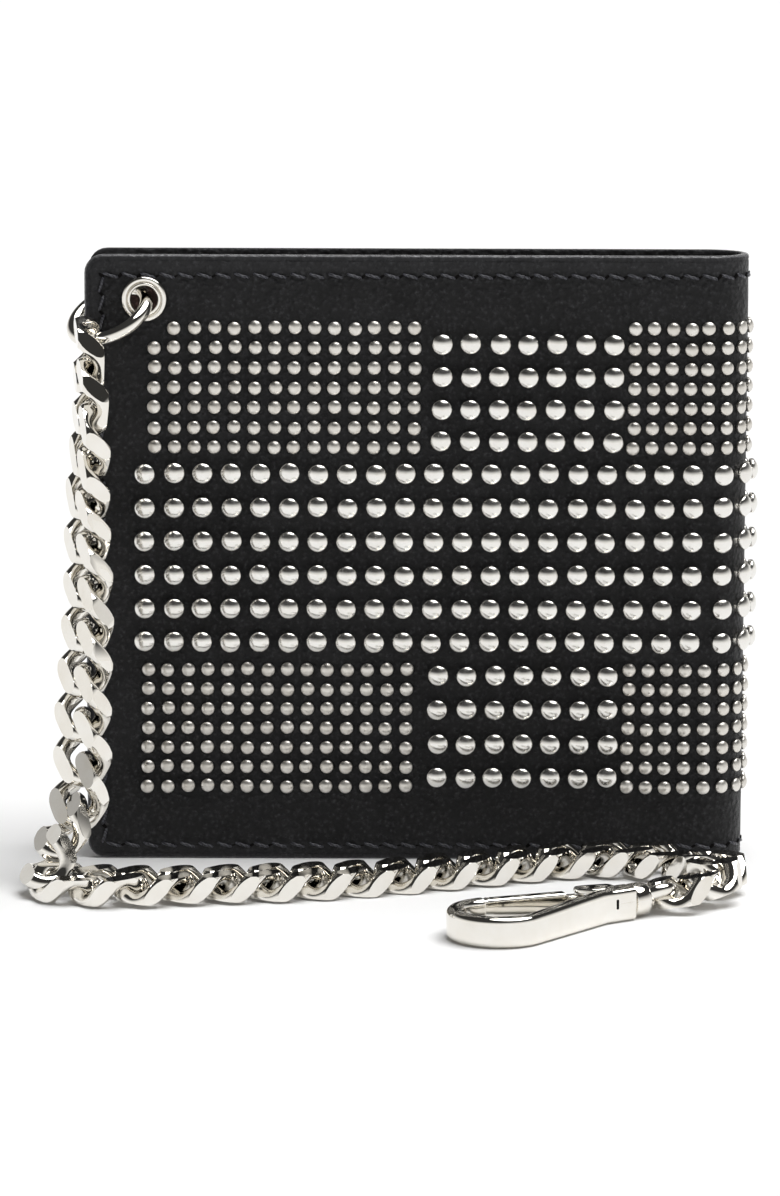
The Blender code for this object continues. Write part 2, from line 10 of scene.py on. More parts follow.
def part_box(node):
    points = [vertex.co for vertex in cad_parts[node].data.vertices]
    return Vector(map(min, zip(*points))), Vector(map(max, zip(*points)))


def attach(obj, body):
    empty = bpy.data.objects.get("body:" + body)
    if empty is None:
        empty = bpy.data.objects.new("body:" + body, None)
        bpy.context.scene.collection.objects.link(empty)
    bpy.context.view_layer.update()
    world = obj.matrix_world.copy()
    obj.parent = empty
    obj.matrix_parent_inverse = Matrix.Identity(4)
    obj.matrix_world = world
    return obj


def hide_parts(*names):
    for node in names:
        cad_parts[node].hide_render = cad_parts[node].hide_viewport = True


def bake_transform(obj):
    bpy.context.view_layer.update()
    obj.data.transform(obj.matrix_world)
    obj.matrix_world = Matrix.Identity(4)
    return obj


# Looks of the chain wallet: leather, studs, stitching, chain and hook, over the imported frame.
# Lengths are in metres, through MM. X runs from the open edges to the spine, Z is up.

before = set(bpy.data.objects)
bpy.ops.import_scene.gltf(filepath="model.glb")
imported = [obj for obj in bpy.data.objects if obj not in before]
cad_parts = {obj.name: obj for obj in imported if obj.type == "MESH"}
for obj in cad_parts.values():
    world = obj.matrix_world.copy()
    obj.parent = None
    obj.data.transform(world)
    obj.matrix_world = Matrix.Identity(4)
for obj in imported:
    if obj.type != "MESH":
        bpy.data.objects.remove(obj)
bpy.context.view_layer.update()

MM = 0.001
RANDOM = random.Random(7)
SIDES = {False: "front", True: "back"}
STAND = Matrix.Rotation(math.pi / 2, 4, "X")

# Wallet. Its outline comes from the frame.
COVER_LOW, COVER_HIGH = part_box("front_cover")
OPEN_EDGE = COVER_LOW[0]
HEIGHT = COVER_HIGH[2]
HALF_THICKNESS = -COVER_LOW[1]
COVER = COVER_HIGH[1] - COVER_LOW[1]
SPINE_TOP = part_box("spine_cover")[1][0]
TANGENT = SPINE_TOP - HALF_THICKNESS
FLAT = TANGENT - OPEN_EDGE
AROUND = FLAT + HALF_THICKNESS * math.pi / 2
CORNER = 3.1 * MM
EYELET_LOW, EYELET_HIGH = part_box("eyelet")
EYELET_X = (EYELET_LOW[0] + EYELET_HIGH[0]) / 2
EYELET_Z = (EYELET_LOW[2] + EYELET_HIGH[2]) / 2
EYELET_HOLE = 2.75 * MM
NOTCH = (EYELET_X + 5.5 * MM, EYELET_Z - 12.5 * MM)

# The stretch from just before each half's curve to the spine's middle; stud columns well into it are built
# as pieces of their own.
BEND_START = TANGENT - 2.3 * MM
BEND_END = SPINE_TOP

# Leather: mesh steps, unevenness, edges and stitching.
GRID_STEP = 2.6 * MM
BEND_STEP = 0.6 * MM
BROAD_WAVE = 11 * MM
FINE_WAVE = 3.4 * MM
LINING_THICKNESS = 0.4 * MM
EDGE_ROUND = 0.45 * MM
INNER_ROUND = 0.3 * MM
CREASE_DEPTH = 0.94 * MM
CREASE_HALF = 0.12 * MM
CREASE_PRESS = 0.09 * MM
EDGE_DEPTHS = (0, 0.06, 0.16, 0.3, 0.5, 0.78, 0.86, 0.94, 1.02, 1.1, 1.4, 1.9, 2.3, 2.7)
EDGE_RINGS = [depth * MM for depth in EDGE_DEPTHS]
STITCH_PITCH = 3.1 * MM
STITCH_LEFT = 2.83 * MM
STITCH_LOW = 2.33 * MM
STITCH_HIGH = HEIGHT - 3.43 * MM
THREAD = 0.25 * MM
STITCH_HALF = 1.28 * MM
STITCH_SLANT = 0.38 * MM
STITCH_RISE = 0.2 * MM
STITCH_DIVE = 0.42 * MM
SLIT_HALF_LENGTH = 0.62 * MM
SLIT_HALF_WIDTH = 0.27 * MM

# Studs: radius and height.
LARGE_STUD = (1.72 * MM, 2.1 * MM)
SMALL_STUD = (1.13 * MM, 1.05 * MM)

# Stud pattern, in millimetres: first place, pitch and count. Travel is from the open edge.
SMALL_PITCH = 3.31
SMALL_COLUMNS_HIGH = (11.25, SMALL_PITCH, 14)
SMALL_COLUMNS_LOW = (10.5, SMALL_PITCH, 14)
SMALL_COLUMNS_SPINE = (90.65, 3.11, 8)
SMALL_ROWS_HIGH = (89.5, -SMALL_PITCH, 7)
SMALL_ROWS_LOW = (32.3, -SMALL_PITCH, 7)
LARGE_COLUMNS = (58.8, 4.73, 7)
LARGE_ROWS_HIGH = (86.9, -5.39, 4)
LARGE_ROWS_LOW = (31.4, -5.77, 4)
BAND_COLUMNS = (9.85, 4.78, 21)
BAND_LAST_COLUMN = 109.7
BAND_ROWS = (65.3, -5.65, 6)
PATTERN_LEAN = 0.0085

# Curb chain. The route's points are in millimetres, each with the way that a link's broad side
# faces there.
LINK_HALF_LENGTH = 5.2 * MM
LINK_HALF_WIDTH = 4.0 * MM
LINK_WIRE = 1.5 * MM
LINK_TWIST = math.radians(50)
LINK_FLAT_Z = 2.1 * MM
LINK_FLAT_Y = 4.85 * MM
CHAIN_ROUTE = (
    ((-54.8, -12.4, 85.5), (-0.97, -0.2, -0.05)),
    ((-54.2, -16.5, 75.2), (-0.95, -0.31, 0.0)),
    ((-54.9, -15.3, 60.3), (-0.9, -0.44, 0.0)),
    ((-54.7, -18.4, 44.9), (-0.82, -0.57, 0.02)),
    ((-55.3, -22.2, 30.2), (-0.73, -0.68, 0.03)),
    ((-55.8, -25.0, 14.7), (-0.67, -0.74, 0.05)),
    ((-58.6, -30.4, 8.2), (-0.75, -0.65, 0.1)),
    ((-60.4, -36.2, 4.2), (-0.62, -0.4, 0.55)),
    ((-57.9, -38.6, 2.7), (-0.01, -0.09, 1.06)),
    ((-48.2, -41.6, 3.0), (-0.04, -0.08, 1.04)),
    ((-34.1, -38.8, 2.7), (-0.03, -0.01, 0.99)),
    ((-19.1, -36.0, 2.5), (-0.01, -0.03, 1.05)),
    ((-5.0, -31.2, 2.3), (0, 0, 1)),
    ((7.8, -26.1, 2.5), (0, 0, 1)),
    ((20.2, -20.6, 2.5), (0, 0, 1)),
    ((29.3, -18.4, 2.6), (0, 0, 1)),
    ((37.8, -20.1, 2.8), (-0.05, -0.01, 0.97)),
    ((44.3, -24.9, 2.9), (0.09, 0.00, 1.05)),
    ((48.0, -30.4, 3.7), (-0.03, 0.01, 1.03)),
    ((46.2, -41.2, 3.5), (-0.23, 0.37, 0.95)),
    ((42.4, -44.3, 3.2), (0.01, 0.17, 0.95)),
)
CHAIN_LINKS = 32

# Jump ring.
RING_WIRE = 1.15 * MM
RING_RADIUS = 6.6 * MM
RING_SLOPE = math.radians(25)
RING_TILT = math.radians(26)
RING_REACH = 6.3 * MM
RING_MID_Y = -6.3 * MM

# Snap hook, on its side: U from nose to swivel, V to the gate, W up.
HOOK_NOSE = Vector((12.0, -65.0, 0.0)) * MM
HOOK_ANGLE = math.radians(35)
HOOK_HEIGHT = 5.4 * MM
HOOK_NOSE_HEIGHT = 4.9 * MM
HOOK_BAND = 2.6 * MM
HOOK_RADIUS = 6.9 * MM
HOOK_LENGTH = 35.2 * MM
BARREL_RADIUS = 2.7 * MM
BARREL_START = 27.6 * MM
GATE_PIN_UV = (25.8 * MM, 2.9 * MM)
NOSE_CENTRE = (HOOK_RADIUS + HOOK_BAND / 2, 0)
EAR_THICKNESS = 0.9 * MM
BARREL_SLOT = (29.6 * MM, -BARREL_RADIUS, 3.1 * MM)
BARREL_SLOT_HALF = (0.22 * MM, 0.8 * MM)
KNUCKLE = (2.5 * MM, 4.25 * MM)
EYE_RADIUS = 2.7 * MM
EYE_WIRE = 1.1 * MM
EYE_ROLL = math.radians(-35)

# Camera and light.
CAMERA_PLACE = Vector((-5.116, -807.0, 173.07)) * MM
CAMERA_PITCH = 0.1595
CAMERA_ROLL = 0.0032
CAMERA_LENS = 146.47
SUN_FROM = (0.3, 0.02, 1.0)
SUN_WIDTH = 52
SUN_STRENGTH = 3.5


# Mesh helpers.


class Shape:
    """Points and faces gathered for one mesh."""

    def __init__(self):
        self.points = []
        self.faces = []
        self.finishes = []

    def add(self, points, faces, finish=0):
        start = len(self.points)
        self.points.extend(points)
        self.faces.extend(tuple(start + i for i in face) for face in faces)
        self.finishes.extend([finish] * len(faces))

    def skin(self, rings, loop=False, caps=True, finish=0):
        """Closed rings of equal counts, joined one to the next; loop joins the last to the first."""
        count = len(rings[0])
        points = [point for ring in rings for point in ring]
        faces = []
        for k in range(len(rings) - (0 if loop else 1)):
            low = k * count
            high = (k + 1) % len(rings) * count
            for i in range(count):
                j = (i + 1) % count
                faces.append((low + i, low + j, high + j, high + i))
        if caps and not loop:
            faces.append(tuple(range(count))[::-1])
            faces.append(tuple(len(points) - count + i for i in range(count)))
        self.add(points, faces, finish)

    def place(self, matrix, start=0):
        self.points[start:] = [matrix @ Vector(point) for point in self.points[start:]]


def add_object(name, data):
    obj = bpy.data.objects.new(name, data)
    bpy.context.scene.collection.objects.link(obj)
    return obj


def make_object(name, shape, materials, sharp=None):
    mesh = bpy.data.meshes.new(name)
    mesh.from_pydata([tuple(point) for point in shape.points], [], shape.faces)
    mesh.polygons.foreach_set("material_index", shape.finishes)
    for material in materials:
        mesh.materials.append(material)
    body = bmesh.new()
    body.from_mesh(mesh)
    bmesh.ops.recalc_face_normals(body, faces=body.faces)
    body.to_mesh(mesh)
    body.free()
    mesh.shade_smooth()
    if sharp is not None:
        mesh.set_sharp_from_angle(angle=math.radians(sharp))
    return add_object(name, mesh)


def boolean_mesh(obj, tool, operation):
    """The mesh of an object after a boolean with a tool, which is then deleted."""
    step = obj.modifiers.new("boolean", "BOOLEAN")
    step.operation = operation
    step.solver = "EXACT"
    step.object = tool
    bpy.context.view_layer.update()
    graph = bpy.context.evaluated_depsgraph_get()
    mesh = bpy.data.meshes.new_from_object(obj.evaluated_get(graph))
    obj.modifiers.clear()
    bpy.data.objects.remove(tool, do_unlink=True)
    return mesh


def arc(centre, radius, start, end, steps):
    angles = [math.radians(start + (end - start) * i / steps) for i in range(steps + 1)]
    return [(centre[0] + radius * math.cos(a), centre[1] + radius * math.sin(a)) for a in angles]


def circle(centre, radius, steps=24):
    return arc(centre, radius, 0, 360 - 360 / steps, steps - 1)


def turned_rings(profile, steps):
    """Rings of a (radius, height) profile turned about Z."""
    turns = [2 * math.pi * i / steps for i in range(steps)]
    return [[(r * math.cos(a), r * math.sin(a), h) for a in turns] for r, h in profile]


def rounded(depth, radius):
    """How far a rounded edge drops, this deep in from it."""
    if depth >= radius:
        return 0.0
    return radius - math.sqrt(radius**2 - (radius - depth) ** 2)


def smooth_step(value):
    value = min(max(value, 0.0), 1.0)
    return value * value * (3 - 2 * value)


def tube_rings(points, radii, sides, out=None, loop=False):
    """Round sections along a line of points. out is a direction that the line is never parallel to."""
    points = [Vector(point) for point in points]
    rings = []
    count = len(points)
    for i, point in enumerate(points):
        before = points[i - 1] if loop or i else point
        after = points[(i + 1) % count] if loop or i < count - 1 else point
        along = (after - before).normalized()
        side = along.cross(out if out is not None else Vector((0, 0, 1))).normalized()
        up = side.cross(along)
        ring = []
        for j in range(sides):
            turn = 2 * math.pi * j / sides
            ring.append(point + (side * math.cos(turn) + up * math.sin(turn)) * radii[i])
        rings.append(ring)
    return rings


# Materials.


def new_material(name):
    material = bpy.data.materials.new(name)
    material.use_nodes = True
    return material, material.node_tree, material.node_tree.nodes["Principled BSDF"]


def node(tree, kind, inputs=None, **settings):
    made = tree.nodes.new("ShaderNode" + kind)
    for key, value in settings.items():
        setattr(made, key, value)
    for key, value in (inputs or {}).items():
        if isinstance(value, bpy.types.NodeSocket):
            tree.links.new(value, made.inputs[key])
        else:
            made.inputs[key].default_value = value
    return made


def object_place(tree):
    return node(tree, "TexCoord").outputs["Object"]


def noise_at(tree, place, scale, detail=4.0, roughness=0.55):
    inputs = {"Vector": place, "Scale": scale, "Detail": detail, "Roughness": roughness}
    return node(tree, "TexNoise", inputs).outputs["Fac"]


def spread(tree, value, low, high, low_in=0.3, high_in=0.7):
    inputs = {"Value": value, "From Min": low_in, "From Max": high_in, "To Min": low, "To Max": high}
    return node(tree, "MapRange", inputs).outputs["Result"]


def blended_colour(tree, share, first, second):
    mix = node(tree, "Mix", {"Factor": share}, data_type="RGBA")
    for socket, colour in ((mix.inputs[6], first), (mix.inputs[7], second)):
        if isinstance(colour, bpy.types.NodeSocket):
            tree.links.new(colour, socket)
        else:
            socket.default_value = (*colour, 1)
    return mix.outputs[2]


def maths(tree, operation, first, second):
    return node(tree, "Math", {0: first, 1: second}, operation=operation).outputs[0]


def bumped(tree, shader, height, strength, distance):
    inputs = {"Height": height, "Strength": strength, "Distance": distance}
    tree.links.new(node(tree, "Bump", inputs).outputs["Normal"], shader.inputs["Normal"])


def brighter(colour, times):
    return tuple(c * times for c in colour)


def leather_material(name, dark, light, gloss, grain=1.0, shine=0.22):
    """Fine pebbled leather: grain, creasing, uneven dye, painted glints on the pebble tops, and wear where
    the mesh says it is rubbed.
    """
    material, tree, shader = new_material(name)
    place = object_place(tree)
    cells = {"Vector": place, "Scale": 1300.0, "Randomness": 1.0}
    pebbles = node(tree, "TexVoronoi", cells, feature="SMOOTH_F1").outputs["Distance"]
    creases = noise_at(tree, place, 650.0, 6.0, 0.7)
    broad = noise_at(tree, place, 90.0, 3.0)
    dye = blended_colour(tree, spread(tree, broad, 0.0, 1.0), dark, light)
    # Painted glints: light flecks, brightest towards each pebble's middle, where light would catch the
    # grain.
    painted_glint_flecks = spread(tree, noise_at(tree, place, 1700.0, 5.0, 0.75), 0.0, 1.0, 0.42, 0.66)
    painted_glint_tops = maths(tree, "MULTIPLY", painted_glint_flecks, spread(tree, pebbles, 1.0, 0.1, 0.05, 0.5))
    rubbed = node(tree, "Attribute", attribute_name="wear").outputs["Fac"]
    worn = maths(tree, "MULTIPLY", rubbed, spread(tree, creases, 0.4, 1.0))
    colour = blended_colour(tree, painted_glint_tops, dye, brighter(light, 5))
    colour = blended_colour(tree, maths(tree, "MULTIPLY", worn, 0.5), colour, brighter(light, 6.5))
    tree.links.new(colour, shader.inputs["Base Color"])
    rough = spread(tree, noise_at(tree, place, 260.0, 4.0), gloss - 0.07, gloss + 0.1)
    rough = maths(tree, "SUBTRACT", rough, maths(tree, "MULTIPLY", worn, 0.1))
    tree.links.new(rough, shader.inputs["Roughness"])
    shader.inputs["Specular IOR Level"].default_value = shine
    height = maths(tree, "ADD", maths(tree, "MULTIPLY", pebbles, -0.8), creases)
    bumped(tree, shader, height, grain, 0.55 * MM)
    return material


def metal_material(name, colour, tarnish, gloss, scratch=1.0):
    """Plated metal: faint tarnish in its colour, hairline scratches and small changes of polish."""
    material, tree, shader = new_material(name)
    place = object_place(tree)
    cloud = noise_at(tree, place, 240.0, 3.0)
    fine = noise_at(tree, place, 2600.0, 2.0)
    shade = blended_colour(tree, spread(tree, cloud, 0.0, 1.0), colour, tarnish)
    tree.links.new(shade, shader.inputs["Base Color"])
    polish = spread(tree, noise_at(tree, place, 900.0, 5.0, 0.7), gloss * 0.7, gloss * 1.5)
    tree.links.new(polish, shader.inputs["Roughness"])
    shader.inputs["Metallic"].default_value = 1.0
    bumped(tree, shader, fine, 0.05 * scratch, 0.02 * MM)
    return material


def thread_material():
    """Waxed twisted thread."""
    material, tree, shader = new_material("thread")
    place = object_place(tree)
    strands = {"Vector": place, "Scale": 900.0, "Distortion": 2.0, "Detail": 1.0}
    twist = node(tree, "TexWave", strands, bands_direction="DIAGONAL").outputs["Fac"]
    colour = blended_colour(tree, twist, (0.012, 0.012, 0.016), (0.06, 0.062, 0.075))
    tree.links.new(colour, shader.inputs["Base Color"])
    tree.links.new(spread(tree, noise_at(tree, place, 1500.0), 0.22, 0.42), shader.inputs["Roughness"])
    bumped(tree, shader, twist, 0.5, 0.06 * MM)
    return material


def painted_hole_shade_material():
    """Painted shade: a near-black colour standing in for the shadow inside an awl hole or slot."""
    material, tree, shader = new_material("awl_hole_painted_shade")
    place = object_place(tree)
    shade = noise_at(tree, place, 2000.0)
    colour = blended_colour(tree, shade, (0.002, 0.002, 0.002), (0.006, 0.005, 0.005))
    tree.links.new(colour, shader.inputs["Base Color"])
    shader.inputs["Roughness"].default_value = 0.9
    shader.inputs["Specular IOR Level"].default_value = 0.1
    return material


LEATHER = leather_material("black_leather", (0.003, 0.003, 0.0033), (0.01, 0.01, 0.0108), 0.4)
EDGE_PAINT = leather_material(
    "painted_edge", (0.012, 0.012, 0.013), (0.03, 0.03, 0.032), 0.3, grain=0.5, shine=0.6
)
POCKET_LEATHER = leather_material(
    "pocket_leather", (0.010, 0.010, 0.011), (0.02, 0.019, 0.021), 0.48, grain=0.8
)
LINING = leather_material("lining_leather", (0.022, 0.012, 0.01), (0.04, 0.022, 0.018), 0.6, grain=0.6)
NICKEL = metal_material("polished_nickel", (0.83, 0.81, 0.765), (0.78, 0.75, 0.69), 0.05)
BIG_STUDS = metal_material("bright_studs", (0.82, 0.81, 0.78), (0.77, 0.75, 0.71), 0.19)
LITTLE_STUDS = metal_material("satin_studs", (0.74, 0.72, 0.68), (0.64, 0.61, 0.56), 0.33, scratch=2.0)
STEEL = metal_material("spring_steel", (0.56, 0.56, 0.57), (0.45, 0.45, 0.47), 0.25)
THREAD_FINISH = thread_material()
# Painted shade for the awl holes and the barrel's slot.
PAINTED_HOLE_SHADE = painted_hole_shade_material()


# Camera.


def add_camera():
    data = bpy.data.cameras.new("camera")
    data.lens = CAMERA_LENS
    data.sensor_width = 36
    data.clip_start = 0.05
    data.clip_end = 100
    camera = add_object("camera", data)
    tilt = Matrix.Rotation(math.pi / 2 - CAMERA_PITCH, 4, "X")
    camera.matrix_world = Matrix.Translation(CAMERA_PLACE) @ tilt @ Matrix.Rotation(CAMERA_ROLL, 4, "Z")
    bpy.context.scene.camera = camera


# Chain.


def link_wire(angle):
    """A point of a link's centre line: an oval, twisted so that links lie flat in each other."""
    x = LINK_HALF_LENGTH * math.cos(angle)
    reach = LINK_HALF_WIDTH * math.sin(angle)
    twist = -LINK_TWIST * math.sin(math.pi / 2 * math.cos(angle))
    return Vector((x, reach * math.cos(twist), reach * math.sin(twist)))


def link_mesh():
    """A twisted oval of wire with four flats ground on it."""
    steps = 60
    sides = 20
    points = [link_wire(2 * math.pi * i / steps) for i in range(steps)]
    rings = []
    for i, point in enumerate(points):
        along = (points[(i + 1) % steps] - points[i - 1]).normalized()
        inward = (along * point.dot(along) - point).normalized()
        third = along.cross(inward)
        ring = []
        for j in range(sides):
            turn = 2 * math.pi * j / sides
            ring.append(point + (inward * math.cos(turn) + third * math.sin(turn)) * LINK_WIRE)
        rings.append(ring)
    shape = Shape()
    shape.skin(rings, loop=True)
    round_link = make_object("round_link", shape, [NICKEL])
    block = add_object("flats", bpy.data.meshes.new("flats"))
    body = bmesh.new()
    bmesh.ops.create_cube(body, size=2)
    bmesh.ops.scale(body, verts=body.verts, vec=(LINK_HALF_LENGTH * 2, LINK_FLAT_Y, LINK_FLAT_Z))
    body.to_mesh(block.data)
    body.free()
    mesh = boolean_mesh(round_link, block, "INTERSECT")
    bpy.data.objects.remove(round_link, do_unlink=True)
    mesh.shade_smooth()
    mesh.set_sharp_from_angle(angle=math.radians(24))
    return mesh


def smooth_route(points, steps=24):
    """A Catmull-Rom curve through the points."""
    values = [np.array(place + face, dtype=float) for place, face in points]
    values = [2 * values[0] - values[1]] + values + [2 * values[-1] - values[-2]]
    curve = []
    for a, b, c, d in zip(values, values[1:], values[2:], values[3:]):
        for i in range(steps):
            t = i / steps
            curve.append(
                0.5 * (2 * b + (c - a) * t + (2 * a - 5 * b + 4 * c - d) * t**2)
                + 0.5 * (3 * b - a - 3 * c + d) * t**3
            )
    curve.append(values[-2])
    return np.array(curve)


def chain_curve():
    curve = smooth_route(CHAIN_ROUTE)
    curve[:, :3] *= MM
    return curve


def link_matrices():
    """The place of each link: evenly spaced along the route, broad side to the route's face."""
    curve = chain_curve()
    lengths = np.linalg.norm(np.diff(curve[:, :3], axis=0), axis=1)
    travelled = np.concatenate([[0], np.cumsum(lengths)])
    pitch = travelled[-1] / (CHAIN_LINKS - 1)

    def at(distance):
        return np.array([np.interp(distance, travelled, column) for column in curve.T])

    matrices = []
    for i in range(CHAIN_LINKS):
        here = at(i * pitch)
        reach = 0.45 * pitch
        along = Vector(at(i * pitch + reach)[:3] - at(i * pitch - reach)[:3]).normalized()
        face = Vector(here[3:])
        face = (face - along * face.dot(along)).normalized()
        side = face.cross(along)
        turn = Matrix((along, side, face)).transposed().to_4x4()
        matrices.append(Matrix.Translation(here[:3]) @ turn)
    return matrices


def build_chain():
    link = link_mesh()
    body = bmesh.new()
    for matrix in link_matrices():
        placed = link.copy()
        placed.transform(matrix)
        body.from_mesh(placed)
        bpy.data.meshes.remove(placed)
    mesh = bpy.data.meshes.new("curb_chain")
    body.to_mesh(mesh)
    body.free()
    mesh.materials.clear()
    mesh.materials.append(NICKEL)
    chain = add_object("curb_chain", mesh)
    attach(chain, "front_half")
    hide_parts(*[f"chain_link_{i:02d}" for i in range(1, CHAIN_LINKS + 1)])
    return chain


def declare_chain():
    matrices = link_matrices()
    reach = Vector((LINK_HALF_LENGTH + LINK_WIRE * 0.5, 0, 0))
    path = [tuple(matrices[0] @ -reach)]
    path += [tuple(place) for place in chain_curve()[::4, :3]]
    path.append(tuple(matrices[-1] @ reach))
    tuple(path[0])


# Leather covers. A point of a cover has its travel from the open edge round to mid-spine, and a height.


def on_cover(travel, height, out, back):
    reach = HALF_THICKNESS + out
    if travel <= FLAT:
        x = OPEN_EDGE + travel
        y = -reach
    else:
        turn = (travel - FLAT) / HALF_THICKNESS
        x = TANGENT + reach * math.sin(turn)
        y = -reach * math.cos(turn)
    return Vector((x, -y if back else y, height))


def cover_axes(travel, back):
    """The way along the leather and the way out of it."""
    turn = max(travel - FLAT, 0) / HALF_THICKNESS
    flip = -1 if back else 1
    along = Vector((math.cos(turn), flip * math.sin(turn), 0))
    out = Vector((math.sin(turn), -flip * math.cos(turn), 0))
    return along, out


def bend_to_spine(obj, back):
    """Bakes a piece's transform into its mesh, the same for either half."""
    if back:
        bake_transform(obj)
    else:
        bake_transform(obj)


def waves(travel, height, back):
    """The slight unevenness of the leather, gone by mid-spine so that the halves meet."""
    place = Vector((travel / BROAD_WAVE, height / BROAD_WAVE, 9.0 if back else 2.0))
    fine = Vector((travel / FINE_WAVE, height / FINE_WAVE, 4.0))
    fade = smooth_step((AROUND - travel) / (9 * MM))
    return (0.06 * noise.noise(place) + 0.018 * noise.noise(fine)) * MM * fade


def stitch_dent(travel, height):
    nearest = min(abs(travel - STITCH_LEFT), abs(height - STITCH_LOW), abs(height - STITCH_HIGH))
    return 0.07 * MM * math.exp(-((nearest / (0.5 * MM)) ** 2))


def outer_height(travel, height, depth, back):
    crease = 0.11 * MM * math.exp(-(((depth - CREASE_DEPTH) / (0.09 * MM)) ** 2))
    level = waves(travel, height, back) * smooth_step(depth / MM) - stitch_dent(travel, height)
    return level - crease - rounded(depth, EDGE_ROUND)


def cover_ring(depth, columns, rows):
    """A cover's free edges, this deep in from them: bottom, open edge, then top."""
    radius = CORNER - depth
    low = arc((CORNER, CORNER), radius, 270, 180, 6)
    high = arc((CORNER, HEIGHT - CORNER), radius, 180, 90, 6)
    ring = [(travel, depth) for travel in columns] + low[1:-1]
    ring += [(depth, height) for height in rows] + high[1:-1]
    return ring + [(travel, HEIGHT - depth) for travel in reversed(columns)]


def cover_side(level, columns, rows, back):
    """Points and faces of one side of a cover, the rim's points, and those at mid-spine in order."""
    points = []
    rings = []
    for depth in EDGE_RINGS:
        ring = cover_ring(depth, columns, rows)
        rings.append(range(len(points), len(points) + len(ring)))
        points += [on_cover(t, h, level(t, h, depth), back) for t, h in ring]
    first = len(points)
    deep = HALF_THICKNESS
    points += [on_cover(t, h, level(t, h, deep), back) for t in columns for h in rows]

    def grid(column, row):
        return first + column * len(rows) + row

    last = len(columns) - 1
    top = len(rows) - 1
    inner = [grid(c, 0) for c in range(len(columns))] + [grid(last, 0)] * 5
    inner += [grid(last, r) for r in range(len(rows))] + [grid(last, top)] * 5
    inner += [grid(c, top) for c in range(last, -1, -1)]
    faces = []
    for low, high in zip(rings, rings[1:] + [inner]):
        for i in range(len(inner) - 1):
            face = (low[i], low[i + 1], high[i + 1], high[i])
            faces.append(tuple(dict.fromkeys(face)))
    rim_faces = 3 * (len(inner) - 1)
    for c in range(last):
        for r in range(top):
            faces.append((grid(c, r), grid(c + 1, r), grid(c + 1, r + 1), grid(c, r + 1)))
    seam = [ring[0] for ring in rings] + [grid(0, r) for r in range(len(rows))]
    seam += [ring[-1] for ring in reversed(rings)]
    return points, faces, rim_faces, list(rings[0]), seam


def even_steps(start, end, step):
    count = max(1, round(abs(end - start) / step))
    return [start + (end - start) * i / count for i in range(count + 1)]


def build_cover(back):
    name = SIDES[back] + "_cover_leather"
    near = CORNER + 0.45 * MM
    columns = [AROUND] + even_steps(AROUND - 0.05 * MM, FLAT, BEND_STEP)
    columns += even_steps(FLAT, near, GRID_STEP)[1:] + [CORNER]
    rows = [CORNER] + even_steps(near, HEIGHT - near, GRID_STEP) + [HEIGHT - CORNER]

    def inner_height(travel, height, depth):
        return rounded(depth, INNER_ROUND) - COVER

    def front_height(travel, height, depth):
        return outer_height(travel, height, depth, back)

    shape = Shape()
    outer, faces, rim_faces, rim, seam = cover_side(front_height, columns, rows, back)
    shape.add(outer, faces[:rim_faces], 1)
    shape.faces += faces[rim_faces:]
    shape.finishes += [0] * (len(faces) - rim_faces)
    inner, _, _, _, _ = cover_side(inner_height, columns, rows, back)
    count = len(outer)
    shape.add(inner, faces, 0)
    for line, finish in ((rim, 1), (seam, 0)):
        for a, b in zip(line, line[1:]):
            shape.faces.append((a, b, count + b, count + a))
            shape.finishes.append(finish)
    cover = make_object(name, shape, [LEATHER, EDGE_PAINT])
    if not back:
        punch_eyelet_hole(cover)
    add_wear(cover)
    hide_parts(*(["back_cover"] if back else ["front_cover", "spine_cover"]))
    bend_to_spine(cover, back)


def eyelet_matrix():
    """Puts an axis along Z through the eyelet, with its top outwards."""
    return Matrix.Translation((EYELET_X, -HALF_THICKNESS, EYELET_Z)) @ STAND


def punch_eyelet_hole(cover):
    shape = Shape()
    shape.skin(turned_rings([(EYELET_HOLE, -4 * MM), (EYELET_HOLE, 4 * MM)], 40))
    shape.place(eyelet_matrix())
    punch = make_object("punch", shape, [LEATHER])
    cover.data = boolean_mesh(cover, punch, "DIFFERENCE")


def add_wear(cover):
    """A point's wear: high on the rim and fading within a millimetre, with a faint band to the stitches."""
    wear = cover.data.attributes.new("wear", "FLOAT", "POINT")
    values = []
    for vertex in cover.data.vertices:
        edge = min(vertex.co.x - OPEN_EDGE, vertex.co.z, HEIGHT - vertex.co.z)
        rub = 0.5 + 0.5 * noise.noise(vertex.co / (6 * MM))
        band = 0.42 * smooth_step((3.2 * MM - edge) / (0.8 * MM))
        values.append(math.exp(-max(edge, 0) / (0.6 * MM)) * rub + band)
    wear.data.foreach_set("value", values)


# Stitching.


def add_stitch(shape, centre, along, across, out):
    """One slanted stitch, both ends down in their holes, and the slit that the next one shares, a dark
    patch of painted shade standing for the shadow down the hole.
    """
    line = []
    radii = []
    for i in range(9):
        t = i / 4 - 1
        wander = RANDOM.uniform(-0.03, 0.03) * MM
        flat = centre + along * (STITCH_HALF * t) - across * (STITCH_SLANT * t + wander)
        line.append(flat + out * (STITCH_RISE - STITCH_DIVE * t**4))
        radii.append(THREAD * (1 - 0.3 * t**4))
    shape.skin(tube_rings(line, radii, 8, out=out), finish=0)
    middle = centre + along * STITCH_PITCH / 2 + out * 0.015 * MM
    slit = (along * 0.62 + across * 0.72).normalized()
    wide = out.cross(slit)
    rings = []
    for size, lift in ((1.0, -0.1), (1.0, 0.0), (0.5, 0.012)):
        ring = []
        for j in range(10):
            turn = 2 * math.pi * j / 10
            spot = slit * SLIT_HALF_LENGTH * math.cos(turn) + wide * SLIT_HALF_WIDTH * math.sin(turn)
            ring.append(middle + spot * size + out * lift * MM)
        rings.append(ring)
    # The slit is a dark patch of painted shade, standing for the shadow down the hole.
    shape.skin(rings, finish=1)


